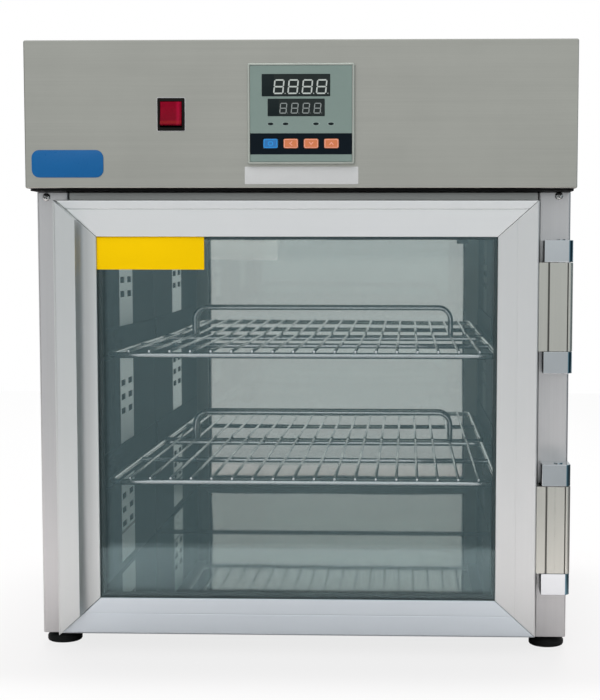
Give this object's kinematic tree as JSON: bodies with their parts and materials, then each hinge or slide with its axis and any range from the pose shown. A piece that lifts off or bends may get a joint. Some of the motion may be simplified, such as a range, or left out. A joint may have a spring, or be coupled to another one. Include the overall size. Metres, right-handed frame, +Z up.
{
  "type": "fluid warming cabinet",
  "caption": "Bench-top stainless warming cabinet with a double-glazed hinged door, wire shelves on runners, a fan and heater above, and a control head with a rocker switch and keypad.",
  "frame": {"origin": "on the bench, below the middle of the cabinet's box", "axes": "+Z up, -Y towards the front with the door, +X to the right as seen from the front"},
  "size_m": [0.504, 0.466, 0.567],
  "materials": {
    "brushed_stainless": "brushed stainless sheet",
    "bright_stainless": "bright rolled stainless sheet",
    "galvanised_steel": "plain zinc-coated sheet",
    "chrome": "polished chrome plating",
    "anodised_aluminium": "satin natural anodised",
    "clear_glass": "clear float glass",
    "black_rubber": "matt black rubber",
    "black_plastic": "matt black moulding",
    "grey_plastic": "matt grey-green overlay",
    "red_plastic": "glossy translucent red",
    "blue_plastic": "matt blue key",
    "orange_plastic": "matt orange key",
    "insulation_board": "mineral wool board"
  },
  "bodies": {
    "cabinet": {"left_side_panel": "brushed_stainless", "right_side_panel": "brushed_stainless", "front_frame": "brushed_stainless", "control_hood": "brushed_stainless", "head_rear_panel": "brushed_stainless", "left_liner": "bright_stainless", "right_liner": "bright_stainless", "back_liner": "bright_stainless", "floor_pan": "bright_stainless", "ceiling_panel": "bright_stainless", "upper_left_runner": "bright_stainless", "upper_right_runner": "bright_stainless", "lower_left_runner": "bright_stainless", "lower_right_runner": "bright_stainless", "base_tray": "galvanised_steel", "rear_panel": "galvanised_steel", "deck_plate": "galvanised_steel", "fan_motor": "galvanised_steel", "heater_element": "galvanised_steel", "safety_thermostat": "galvanised_steel", "upper_hinge_bracket": "chrome", "lower_hinge_bracket": "chrome", "upper_hinge_pin": "chrome", "lower_hinge_pin": "chrome", "left_vent_strip": "anodised_aluminium", "right_vent_strip": "anodised_aluminium", "front_left_foot": "black_rubber", "front_right_foot": "black_rubber", "rear_left_foot": "black_rubber", "rear_right_foot": "black_rubber", "switch_housing": "black_plastic", "controller_case": "black_plastic", "relay": "black_plastic", "terminal_block": "black_plastic", "power_inlet": "black_plastic", "temperature_probe": "black_plastic", "controller_panel": "grey_plastic", "left_insulation": "insulation_board", "right_insulation": "insulation_board", "back_insulation": "insulation_board", "base_insulation": "insulation_board", "top_insulation": "insulation_board"},
    "door": {"door_top_rail": "anodised_aluminium", "door_bottom_rail": "anodised_aluminium", "door_handle_stile": "anodised_aluminium", "door_hinge_stile": "anodised_aluminium", "outer_glass": "clear_glass", "inner_glass": "clear_glass", "glazing_spacer": "black_plastic", "door_gasket": "black_rubber", "upper_hinge_knuckle": "brushed_stainless", "lower_hinge_knuckle": "brushed_stainless"},
    "rocker": {"rocker": "red_plastic"},
    "fan": {"fan_impeller": "galvanised_steel"},
    "upper_shelf": {"upper_shelf": "chrome"},
    "lower_shelf": {"lower_shelf": "chrome"},
    "key_1": {"controller_key_1": "blue_plastic"},
    "key_2": {"controller_key_2": "orange_plastic"},
    "key_3": {"controller_key_3": "orange_plastic"},
    "key_4": {"controller_key_4": "orange_plastic"}
  },
  "joints": [
    {"name": "door_hinge", "type": "hinge", "parent": "cabinet", "child": "door", "pos_m": [0.2395, -0.2065, 0.2225], "axis": [0, 0, 1], "range_deg": [0, 110]},
    {"name": "rocker_tilt", "type": "hinge", "parent": "cabinet", "child": "rocker", "pos_m": [-0.117, -0.221, 0.5], "axis": [1, 0, 0], "range_deg": [0, 16]},
    {"name": "fan_spin", "type": "hinge", "parent": "cabinet", "child": "fan", "pos_m": [-0.0015, 0.011, 0.4065], "axis": [0, 0, 1], "continuous": true},
    {"name": "upper_shelf_slide", "type": "slide", "parent": "cabinet", "child": "upper_shelf", "axis": [0, -1, 0], "range_m": [0, 0.03]},
    {"name": "lower_shelf_slide", "type": "slide", "parent": "cabinet", "child": "lower_shelf", "axis": [0, -1, 0], "range_m": [0, 0.03]},
    {"name": "key_1_press", "type": "slide", "parent": "cabinet", "child": "key_1", "axis": [0, 1, 0], "range_m": [0, 0.0006], "stiffness_N_per_m": 300},
    {"name": "key_2_press", "type": "slide", "parent": "cabinet", "child": "key_2", "axis": [0, 1, 0], "range_m": [0, 0.0006], "stiffness_N_per_m": 300},
    {"name": "key_3_press", "type": "slide", "parent": "cabinet", "child": "key_3", "axis": [0, 1, 0], "range_m": [0, 0.0006], "stiffness_N_per_m": 300},
    {"name": "key_4_press", "type": "slide", "parent": "cabinet", "child": "key_4", "axis": [0, 1, 0], "range_m": [0, 0.0006], "stiffness_N_per_m": 300}
  ]
}
